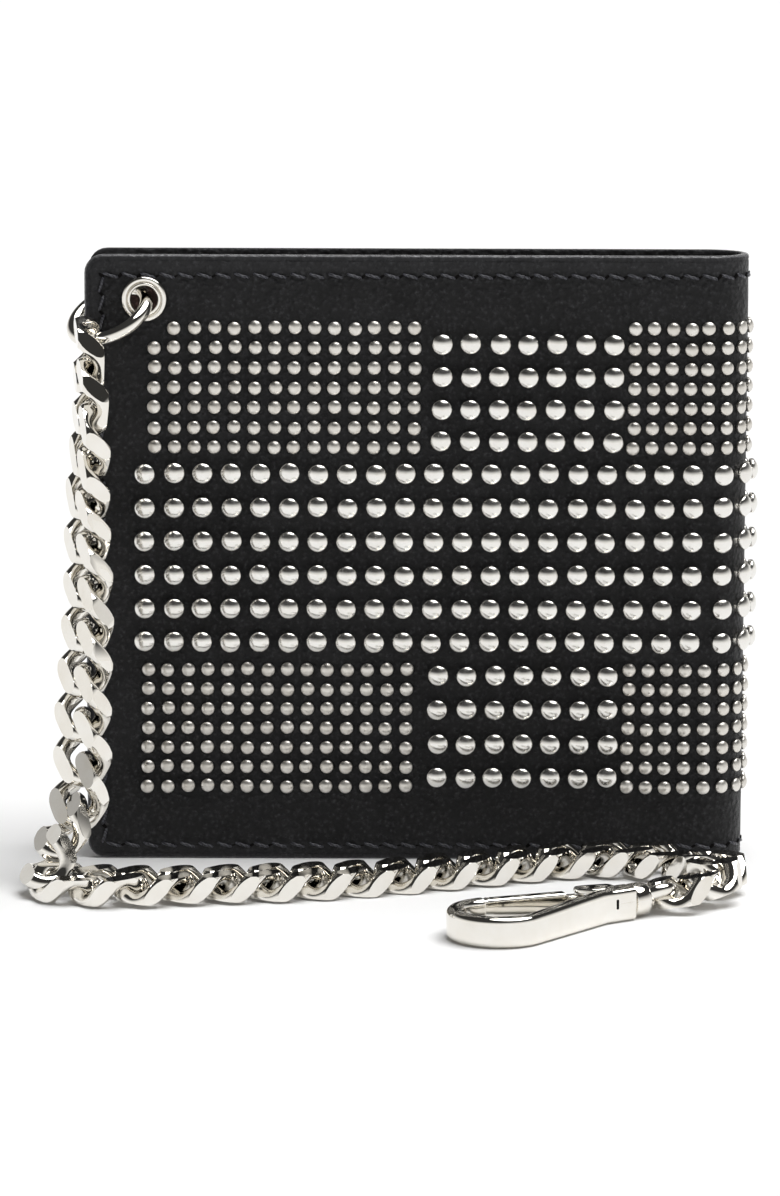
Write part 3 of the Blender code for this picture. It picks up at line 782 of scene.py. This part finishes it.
def build_cover_stitches(back):
    shape = Shape()
    lines = (
        ((AROUND, STITCH_LOW), (STITCH_LEFT, STITCH_LOW)),
        ((STITCH_LEFT, STITCH_LOW), (STITCH_LEFT, STITCH_HIGH)),
        ((STITCH_LEFT, STITCH_HIGH), (AROUND, STITCH_HIGH)),
    )
    for start, end in lines:
        start, end = Vector(start), Vector(end)
        count = round((end - start).length / STITCH_PITCH)
        for i in range(count):
            travel, height = start.lerp(end, (i + 0.5) / count)
            along, out = cover_axes(travel, back)
            up = Vector((0, 0, 1))
            if start.x == end.x:
                along, up = up, -along
            centre = on_cover(travel, height, -stitch_dent(travel, height) - 0.01 * MM, back)
            add_stitch(shape, centre, along, up, out)
    stitches = make_object(SIDES[back] + "_stitching", shape, [THREAD_FINISH, PAINTED_HOLE_SHADE])
    bend_to_spine(stitches, back)


# Studs.


def stud_rings(radius, height, steps):
    """A low domed head with a short upright rim, on a narrower foot."""
    rise = 0.43 * radius
    ball = (radius**2 + rise**2) / (2 * rise)
    rim = height - rise
    under = rim - 0.4 * radius
    profile = [(0.8 * radius, -0.3 * MM), (0.8 * radius, under - 0.05 * MM), (0.94 * radius, under)]
    profile += [(radius, under + 0.08 * radius), (radius, rim - 0.06 * radius), (0.985 * radius, rim)]
    for share in (0.95, 0.86, 0.74, 0.58, 0.4, 0.2, 0.02):
        reach = radius * share
        profile.append((reach, height - ball + math.sqrt(ball**2 - reach**2)))
    return turned_rings(profile, steps)


LARGE_RINGS = stud_rings(*LARGE_STUD, 24)
SMALL_RINGS = stud_rings(*SMALL_STUD, 18)


def add_stud(shape, rings, travel, height, back):
    along, out = cover_axes(travel, back)
    travel += RANDOM.gauss(0, 0.06) * MM
    height += RANDOM.gauss(0, 0.07) * MM
    seat = on_cover(travel, height, RANDOM.uniform(-0.04, 0.03) * MM, back)
    turn = Matrix((along, Vector((0, 0, 1)), out)).transposed().to_4x4()
    lean = Matrix.Rotation(RANDOM.gauss(0, 0.035), 4, "X")
    lean = lean @ Matrix.Rotation(RANDOM.gauss(0, 0.035), 4, "Y")
    start = len(shape.points)
    shape.skin(rings)
    shape.place(Matrix.Translation(seat) @ turn @ lean, start)


def series(first, pitch, count):
    return [(first + pitch * i) * MM for i in range(count)]


def stud_columns(back):
    """Each column of studs: its kind, its travel, and its studs' heights."""
    small_high = series(*SMALL_ROWS_HIGH)
    small_low = series(*SMALL_ROWS_LOW)
    spine = series(*SMALL_COLUMNS_SPINE)
    first, *others = series(*SMALL_COLUMNS_HIGH)
    columns = [("small", first, small_high[1:])]
    columns += [("small", travel, small_high) for travel in others]
    columns += [("small", travel, small_low) for travel in series(*SMALL_COLUMNS_LOW)]
    columns += [("small", travel, rows) for rows in (small_high, small_low) for travel in spine]
    large = series(*LARGE_ROWS_HIGH) + series(*LARGE_ROWS_LOW)
    columns += [("large", travel, large) for travel in series(*LARGE_COLUMNS)]
    band = series(*BAND_COLUMNS) + [BAND_LAST_COLUMN * MM]
    if not back:
        band.append(AROUND)
    columns += [("large", travel, series(*BAND_ROWS)) for travel in band]
    return columns


def build_studs(back):
    """Studs on the flat leather share a piece; a column in the bend is a piece of its own."""
    side = SIDES[back]
    shapes = {}
    for kind, travel, rows in stud_columns(back):
        bent = OPEN_EDGE + travel > BEND_START + 2 * MM
        key = (kind, round(travel / MM, 1)) if bent else (kind, None)
        shape = shapes.setdefault(key, Shape())
        for height in rows:
            lean = 0 if bent else (height - HEIGHT / 2) * PATTERN_LEAN
            rings = LARGE_RINGS if kind == "large" else SMALL_RINGS
            add_stud(shape, rings, travel + lean, height, back)
    for (kind, bent), shape in shapes.items():
        label = "" if bent is None else f"_{bent:.0f}"
        finish = BIG_STUDS if kind == "large" else LITTLE_STUDS
        studs = make_object(f"{side}_{kind}_studs{label}", shape, [finish], 55)
        if bent is None:
            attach(studs, side + "_half")
            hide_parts(side + "_stud_field")
        elif AROUND - bent * MM < 2 * MM:
            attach(studs, "spine")
            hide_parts("spine_stud_field")
        else:
            carry_on_bend(studs, bent * MM, back)


def carry_on_bend(studs, travel, back):
    """Works out the share of the bend that the leather under a column's middle has, and a blend a whole
    metre long, then only bakes the column's transform; neither is used.
    """
    seat = on_cover(travel, 0, 0, False)
    first = Vector((BEND_START, -HALF_THICKNESS, 0))
    way = Vector((BEND_END, 0, 0)) - first
    share = (seat - first).dot(way) / way.length_squared
    way = way.normalized()
    start = seat - way * share
    end = start + way
    if back:
        start.y, end.y = -start.y, -end.y
        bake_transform(studs)
    else:
        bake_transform(studs)


# Inner leather.


def inset_outline(outline, depth):
    """The outline, moved in by depth. It runs anticlockwise."""
    moved = []
    for i, point in enumerate(outline):
        point = Vector(point)
        before = (point - Vector(outline[i - 1])).normalized()
        after = (Vector(outline[(i + 1) % len(outline)]) - point).normalized()
        normal = (Vector((-before.y, before.x)) + Vector((-after.y, after.x))).normalized()
        share = max(normal.dot(Vector((-before.y, before.x))), 0.4)
        moved.append(tuple(point + normal * depth / share))
    return moved


def soft_corners(corners, radius):
    """An outline whose corners are cut by short arcs; corners run anticlockwise."""
    outline = []
    for i, corner in enumerate(corners):
        corner = Vector(corner)
        before = (Vector(corners[i - 1]) - corner).normalized()
        after = (Vector(corners[(i + 1) % len(corners)]) - corner).normalized()
        first = corner + before * radius
        last = corner + after * radius
        for step in range(5):
            t = step / 4
            outline.append(tuple(first * (1 - t) ** 2 + corner * 2 * t * (1 - t) + last * t**2))
    return outline


def plate_outline(corners, radius, depth):
    return soft_corners(inset_outline(corners, depth), max(radius - depth, 0.2 * MM))


def add_plate(shape, corners, radius, low, high, edge, crease=None):
    """A plate with rounded rims, between two levels, and a pressed crease line inside its rim."""
    depths = [0, 0.3 * edge, 0.65 * edge, edge]
    marks = [] if crease is None else [crease - CREASE_HALF, crease, crease + CREASE_HALF]
    inwards = depths + marks
    rings = []
    for surface, way, steps in ((low, 1, reversed(inwards)), (high, -1, inwards)):
        for depth in steps:
            sunk = rounded(depth, edge) + (CREASE_PRESS if depth == crease else 0)
            level = surface + way * sunk
            rings.append([(x, y, level) for x, y in plate_outline(corners, radius, depth)])
    shape.skin(rings)


def rectangle(left, right, low, high):
    return [(left, low), (right, low), (right, high), (left, high)]


def notched(left, right, low, high):
    """A rectangle without its upper open corner, which leaves room for the jump ring."""
    notch_x, notch_z = NOTCH
    outer = [(left, low), (right, low), (right, high)]
    return outer + [(notch_x, high), (notch_x, notch_z), (left, notch_z)]


def upright(y_level, back):
    """Stands a plate up. Its level 0 is at y_level and its levels rise towards the cover."""
    flip = Matrix.Scale(-1, 4, (0, 1, 0)) if back else Matrix.Identity(4)
    return flip @ Matrix.Translation((0, y_level, 0)) @ STAND


def build_inner_layers(back):
    side = SIDES[back]
    plates = (
        ("bill_lining", LINING, "lining_leather", None),
        ("bill_divider", LINING, "lining_leather", 1.4 * MM),
        ("card_pocket_upper", POCKET_LEATHER, "pocket_leather", 1.5 * MM),
        ("card_pocket_middle", POCKET_LEATHER, "pocket_leather", 1.5 * MM),
        ("card_pocket_lower", POCKET_LEATHER, "pocket_leather", 1.5 * MM),
    )
    for label, material, slot, crease in plates:
        node_name = f"{side}_{label}"
        low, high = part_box(node_name)
        thickness = high[1] - low[1]
        inner = -low[1] if back else high[1]
        is_notched = not back and label in ("bill_lining", "bill_divider", "card_pocket_upper")
        corners = (notched if is_notched else rectangle)(low[0], high[0], low[2], high[2])
        shape = Shape()
        add_plate(shape, corners, 1.2 * MM, 0, thickness, thickness * 0.45, crease)
        if "pocket" in label:
            add_pocket_stitches(shape, label, low, high)
        shape.place(upright(inner, back))
        layer = make_object(f"{side}_{label}_leather", shape, [material, THREAD_FINISH, PAINTED_HOLE_SHADE], 50)
        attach(layer, side + "_half")
        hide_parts(node_name)


def add_pocket_stitches(shape, label, low, high):
    """Stitches down both sides of a pocket and along the foot of the lowest one, on its inner face."""
    inset = 0.75 * MM
    left = low[0] + inset
    right = high[0] - inset
    start = low[2] + inset
    top = high[2] - inset
    if label != "card_pocket_lower":
        covering = "back_card_pocket_middle" if "upper" in label else "back_card_pocket_lower"
        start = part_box(covering)[1][2] + inset
    lines = [((left, start), (left, top)), ((right, start), (right, top))]
    if label == "card_pocket_lower":
        lines.append(((left, start), (right, start)))
    thread = Shape()
    for first, last in lines:
        first, last = Vector(first), Vector(last)
        if label == "card_pocket_upper" and first.x < NOTCH[0] and first.x == last.x:
            last.y = NOTCH[1] - inset
        count = max(1, round((last - first).length / STITCH_PITCH))
        way = (last - first).normalized()
        for i in range(count):
            spot = first.lerp(last, (i + 0.5) / count)
            along = Vector((way.x, way.y, 0))
            across = Vector((-way.y, way.x, 0))
            add_stitch(thread, Vector((spot.x, spot.y, 0)), along, across, Vector((0, 0, -1)))
    # The stitches' slits are patches of painted shade standing for the shadow in their holes.
    shape.add(thread.points, thread.faces)
    shape.finishes[-len(thread.faces) :] = [finish + 1 for finish in thread.finishes]


def build_spine_lining(back):
    """Half of the spine's lining, an arc under the leather."""
    low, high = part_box("spine_lining")
    outer = high[0] - TANGENT
    inner = outer - LINING_THICKNESS
    shape = Shape()
    rings = []
    for height in even_steps(low[2], high[2], 4 * MM):
        section = arc((TANGENT, 0), outer, -88, 0, 14) + arc((TANGENT, 0), inner, 0, -88, 14)
        rings.append([(x, -y if back else y, height) for x, y in section])
    shape.skin(rings)
    lining = make_object(SIDES[back] + "_spine_lining", shape, [LINING], 50)
    if not back:
        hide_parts("spine_lining")
    bend_to_spine(lining, back)


# Eyelet and jump ring.


def build_eyelet():
    """A turned eyelet. Its profile is in millimetres, from its axis and from the leather."""
    rolled_lip = arc((2.5, 0.6), 0.28, 180, 0, 8)
    brim = arc((3.26, 0.42), 0.49, 165, -50, 12)
    barrel = [(2.55, 0.02), (2.55, -2.0), (3.15, -2.0)]
    clenched_end = [(3.2, -2.12), (3.0, -2.28), (2.6, -2.32), (2.35, -2.3), (2.25, -2.2)]
    profile = rolled_lip + brim + barrel + clenched_end
    shape = Shape()
    shape.skin(turned_rings([(r * MM, h * MM) for r, h in profile], 64), loop=True)
    shape.place(eyelet_matrix())
    eyelet = make_object("rolled_eyelet", shape, [NICKEL], 60)
    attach(eyelet, "front_half")
    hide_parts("eyelet")


def ring_frame():
    """Along the ring's length, down to the open edge, and across it, out to the front."""
    along = Vector((-math.cos(RING_SLOPE), 0, -math.sin(RING_SLOPE)))
    across = Vector((0, -1, 0))
    across.rotate(Matrix.Rotation(-RING_TILT, 3, along))
    return along, across


def build_jump_ring():
    """An open ring whose two cut ends nearly meet."""
    along, across = ring_frame()
    centre = Vector((EYELET_X, RING_MID_Y, EYELET_Z)) + along * RING_REACH
    cut = 200
    turned = arc((0, 0), RING_RADIUS, cut + 0.8, cut + 359.2, 110)
    points = [centre + along * s + across * e for s, e in turned]
    shape = Shape()
    shape.skin(tube_rings(points, [RING_WIRE] * len(points), 20, out=along.cross(across)))
    ring = make_object("wire_jump_ring", shape, [NICKEL], 50)
    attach(ring, "front_half")
    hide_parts("jump_ring")
    return ring


# Snap hook.


def hook_matrix():
    turn = Matrix.Rotation(HOOK_ANGLE, 4, "Z")
    back = Matrix.Translation((-HOOK_RADIUS - HOOK_BAND / 2, 0, 0))
    return Matrix.Translation(HOOK_NOSE) @ turn @ back


def tangent_from(point, centre, radius, side):
    """The angle of travel from a point to where it touches a circle, on its left or right side."""
    to_centre = Vector(centre) - Vector(point)
    spread_angle = math.asin(radius / to_centre.length)
    return math.atan2(to_centre.y, to_centre.x) - side * spread_angle


def soft_section(half_width, low, high, edge, corner_steps=5):
    """A rectangle with rounded corners, as (sideways, up) points."""
    section = []
    for x, y, start in (
        (half_width - edge, low + edge, 270),
        (half_width - edge, high - edge, 0),
        (-half_width + edge, high - edge, 90),
        (-half_width + edge, low + edge, 180),
    ):
        section += arc((x, y), edge, start, start + 90, corner_steps)
    return section


def band_rings(path, sections):
    """Sections that stand across a flat path."""
    rings = []
    for i, point in enumerate(path):
        before = Vector(path[max(i - 1, 0)])
        after = Vector(path[min(i + 1, len(path) - 1)])
        way = (after - before).normalized()
        across = Vector((way.y, -way.x))
        rings.append([(point[0] + across.x * s, point[1] + across.y * s, w) for s, w in sections[i]])
    return rings


def lying(offset):
    return Matrix.Translation(offset) @ Matrix.Rotation(math.pi / 2, 4, "Y")


def build_hook_frame(place, gate_angle):
    neck = (BARREL_START, -BARREL_RADIUS + HOOK_BAND / 2)
    arm_angle = tangent_from(neck, NOSE_CENTRE, HOOK_RADIUS, -1)
    nose_start = math.degrees(arm_angle) + 90
    nose_end = math.degrees(gate_angle) + 270
    nose = arc(NOSE_CENTRE, HOOK_RADIUS, nose_start, nose_end, 60)
    tail = (HOOK_LENGTH - 1.9 * MM, neck[1])
    path = even_points(tail, neck, 3) + even_points(neck, nose[0], 14)[1:] + nose[1:]
    sections = []
    for point in path:
        rise = smooth_step((point[0] - NOSE_CENTRE[0]) / (BARREL_START - NOSE_CENTRE[0]))
        high = HOOK_NOSE_HEIGHT + (HOOK_HEIGHT - HOOK_NOSE_HEIGHT) * rise
        sections.append(soft_section(HOOK_BAND / 2, 0, high, 0.95 * MM, 7))
    shape = Shape()
    shape.skin(band_rings(path, sections))
    add_ears(shape)
    add_barrel(shape)
    shape.place(place)
    hook = make_object("polished_hook", shape, [NICKEL, PAINTED_HOLE_SHADE], 45)
    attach(hook, "hook")
    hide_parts("hook_frame")
    return hook


def even_points(start, end, steps):
    start, end = Vector(start), Vector(end)
    return [tuple(start.lerp(end, i / steps)) for i in range(steps + 1)]


def add_ears(shape):
    """Two cheeks that hold the gate's pin."""
    pin_u, pin_v = GATE_PIN_UV
    outer = pin_v + 1.05 * MM
    ear = BARREL_START - 2.7 * MM
    corners = [
        (BARREL_START - 0.6 * MM, -0.4 * MM),
        (BARREL_START + 4.0 * MM, -0.4 * MM),
        (BARREL_START + 4.0 * MM, BARREL_RADIUS - 0.25 * MM),
        (pin_u + 1.6 * MM, outer - 0.2 * MM),
        (ear + 0.7 * MM, outer),
        (ear, pin_v - 0.4 * MM),
    ]
    for low, high in ((0, EAR_THICKNESS), (HOOK_HEIGHT - EAR_THICKNESS, HOOK_HEIGHT)):
        add_plate(shape, corners, 0.9 * MM, low, high, 0.35 * MM)


def add_barrel(shape):
    """The hollow barrel that the stem turns in, and the small slot in its side, a dark block of painted
    shade standing for the shadow inside it.

    The profile is in millimetres: radius, and how far from the nose.
    """
    bore_and_rim = [(1.4, 29.0), (1.4, 33.4), (1.6, 33.58), (2.4, 33.62), (2.62, 33.5), (2.74, 33.2)]
    wall = [(2.76, 32.0), (2.72, 29.4), (2.6, 28.6), (2.35, 27.9)]
    closed_end = [(1.9, 27.3), (1.0, 26.9), (0.2, 26.8), (0.2, 29.0)]
    profile = [(r * MM, h * MM) for r, h in bore_and_rim + wall + closed_end]
    start = len(shape.points)
    shape.skin(turned_rings(profile, 40), loop=True)
    shape.place(lying((0, 0, BARREL_RADIUS)), start)
    wide, high = BARREL_SLOT_HALF
    outline = soft_corners(rectangle(-wide, wide, -high, high), 0.2 * MM)
    slot = Shape()
    slot.skin([[(x, y, w) for x, y in outline] for w in (-0.3 * MM, 0.05 * MM)])
    slot.place(Matrix.Translation(BARREL_SLOT) @ STAND)
    # The slot is a dark block of painted shade, standing for the shadow inside it.
    shape.add(slot.points, slot.faces, 1)


def build_gate(place, gate_angle):
    """A straight bar from its knuckle on the pin to just short of the nose."""
    pin = Vector(GATE_PIN_UV)
    way = Vector((math.cos(gate_angle), math.sin(gate_angle)))
    reach = math.sqrt((Vector(NOSE_CENTRE) - pin).length ** 2 - HOOK_RADIUS**2) - 0.35 * MM
    stations = [-1.0, -0.7, 0.0, 1.2, 1.95, 2.15, 2.4, 3.2, 4.4, 6.0, 8.0, 11.0, 14.0]
    stations = [s * MM for s in stations] + [reach - 0.5 * MM, reach - 0.15 * MM, reach]
    path = []
    sections = []
    for s in stations:
        bar = smooth_step((s - 1.9 * MM) / (0.55 * MM))
        knuckle_low, knuckle_high = KNUCKLE
        top = HOOK_NOSE_HEIGHT - 0.1 * MM
        low = knuckle_low + (0.3 * MM - knuckle_low) * bar
        high = knuckle_high + (top - knuckle_high) * bar
        half = (0.98 + 0.12 * bar) * MM
        if s < 0:
            half *= math.sqrt(max(1 - (s / (1.15 * MM)) ** 2, 0.1))
        if s > reach - 0.4 * MM:
            half *= 0.9
            low += 0.12 * MM
            high -= 0.12 * MM
        path.append(tuple(pin + way * s))
        sections.append(soft_section(half, low, high, min(0.5 * MM, half * 0.6)))
    shape = Shape()
    shape.skin(band_rings(path, sections))
    shape.place(place)
    gate = make_object("polished_gate", shape, [NICKEL], 45)
    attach(gate, "gate")
    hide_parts("hook_gate")
    return gate


def build_swivel_eye(place):
    """The eye, its domed collar and the stem in the barrel, as radius and distance from the nose."""
    ring_u = HOOK_LENGTH + 0.35 * MM + EYE_RADIUS + EYE_WIRE
    ring = [(u, v, 0) for u, v in circle((0, 0), EYE_RADIUS, 48)]
    shape = Shape()
    shape.skin(tube_rings(ring, [EYE_WIRE] * 48, 18, loop=True), loop=True)
    shape.place(Matrix.Translation((ring_u, 0, BARREL_RADIUS)) @ Matrix.Rotation(EYE_ROLL, 4, "X"))
    stem = [(0.02, 28.8), (1.0, 28.8), (1.1, 29.2), (1.1, 33.75)]
    collar = [(2.4, 33.8), (2.62, 33.95), (2.7, 34.3), (2.72, 35.8)]
    dome = [(2.62, 36.5), (2.4, 37.1), (2.0, 37.6), (1.3, 37.9), (0.6, 38.0), (0.02, 38.02)]
    start = len(shape.points)
    shape.skin(turned_rings([(r * MM, h * MM) for r, h in stem + collar + dome], 32))
    shape.place(lying((0, 0, BARREL_RADIUS)), start)
    shape.place(place)
    eye = make_object("polished_swivel_eye", shape, [NICKEL], 45)
    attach(eye, "front_half")
    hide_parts("swivel_eye")
    return eye


def finish_kept_nodes():
    """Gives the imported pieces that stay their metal."""
    kept = {"eyelet_washer": NICKEL, "gate_pin": STEEL, "gate_spring": STEEL}
    objects = [bpy.data.objects[name] for name in kept]
    for obj in objects:
        for slot in obj.material_slots:
            slot.material = kept[obj.name]
    return [obj for obj in objects if obj.name.startswith("gate")]


# Floor and light.


def build_floor():
    material, tree, shader = new_material("pale_floor")
    shade = spread(tree, noise_at(tree, object_place(tree), 3.0), 0.0, 1.0)
    colour = blended_colour(tree, shade, (0.93, 0.93, 0.93), (0.91, 0.91, 0.91))
    tree.links.new(colour, shader.inputs["Base Color"])
    shader.inputs["Roughness"].default_value = 0.7
    shader.inputs["Specular IOR Level"].default_value = 0.2
    shape = Shape()
    half = 20.0
    shape.add([(x, y, 0) for x, y in rectangle(-half, half, -half, half)], [(0, 1, 2, 3)])
    floor = make_object("floor", shape, [material])


def build_sun():
    """One broad overhead softbox, so far off that the whole floor is evenly lit."""
    data = bpy.data.lights.new("overhead_softbox", "SUN")
    data.angle = math.radians(SUN_WIDTH)
    data.energy = SUN_STRENGTH
    light = add_object("overhead_softbox", data)
    light.rotation_euler = Vector(SUN_FROM).to_track_quat("Z", "Y").to_euler()


def build_world():
    """White studio walls all round, fading with height to a dark ceiling."""
    world = bpy.data.worlds.new("studio")
    bpy.context.scene.world = world
    world.use_nodes = True
    tree = world.node_tree
    way = node(tree, "TexCoord").outputs["Generated"]
    up = node(tree, "SeparateXYZ", {0: way}).outputs["Z"]
    walls = spread(tree, up, 1.0, 0.04, 0.08, 0.46)
    background = tree.nodes["Background"]
    background.inputs["Color"].default_value = (1.0, 0.99, 0.97, 1)
    tree.links.new(walls, background.inputs["Strength"])


add_camera()
CHAIN = build_chain()
for back_side in (False, True):
    build_cover(back_side)
    build_cover_stitches(back_side)
    build_inner_layers(back_side)
    build_spine_lining(back_side)
    build_studs(back_side)
build_eyelet()
RING = build_jump_ring()
HOOK_PLACE = hook_matrix()
GATE_ANGLE = tangent_from(GATE_PIN_UV, NOSE_CENTRE, HOOK_RADIUS, 1)
HOOK_PIECES = [build_hook_frame(HOOK_PLACE, GATE_ANGLE), build_gate(HOOK_PLACE, GATE_ANGLE)]
HOOK_PIECES += [build_swivel_eye(HOOK_PLACE)] + finish_kept_nodes()
declare_chain()
build_floor()
build_world()
build_sun()
bpy.context.scene.view_settings.view_transform = "Standard"
